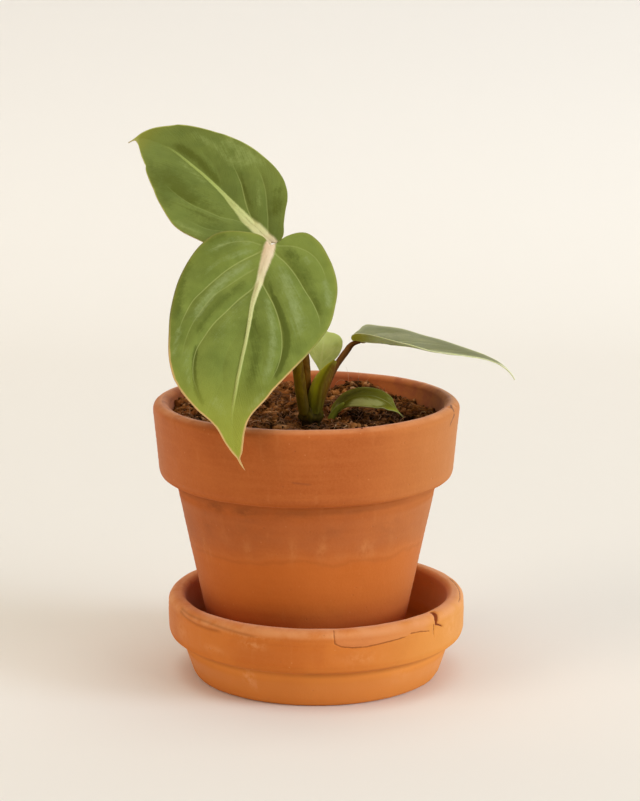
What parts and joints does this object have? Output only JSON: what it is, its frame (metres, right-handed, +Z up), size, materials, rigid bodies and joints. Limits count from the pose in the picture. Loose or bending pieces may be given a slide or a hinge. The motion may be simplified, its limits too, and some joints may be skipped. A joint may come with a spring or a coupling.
{
  "type": "potted philodendron",
  "caption": "Young philodendron with heart-shaped velvety leaves on brown stalks, planted in a terracotta pot that stands in its own saucer.",
  "frame": {"origin": "centre of the saucer's flat underside, on the surface it stands on", "axes": "+Z up along the saucer's axis; the large front leaf faces -Y; the folded leaf reaches out to +X"},
  "size_m": [0.1414, 0.1191, 0.2],
  "materials": {
    "saucer": "matte",
    "pot": "matte",
    "soil": "matte",
    "crown": "matte",
    "front_leaf": "matte",
    "front_petiole": "satin",
    "top_leaf": "matte",
    "top_petiole": "satin",
    "right_leaf": "matte",
    "right_petiole": "satin",
    "sheath": "satin",
    "back_leaf": "matte",
    "back_petiole": "satin",
    "low_leaf": "matte",
    "low_petiole": "satin"
  },
  "bodies": {
    "root": {"saucer": "saucer", "pot": "pot", "soil": "soil", "crown": "crown", "front_leaf": "front_leaf", "front_petiole": "front_petiole", "top_leaf": "top_leaf", "top_petiole": "top_petiole", "right_leaf": "right_leaf", "right_petiole": "right_petiole", "sheath": "sheath", "back_leaf": "back_leaf", "back_petiole": "back_petiole", "low_leaf": "low_leaf", "low_petiole": "low_petiole"}
  },
  "joints": []
}
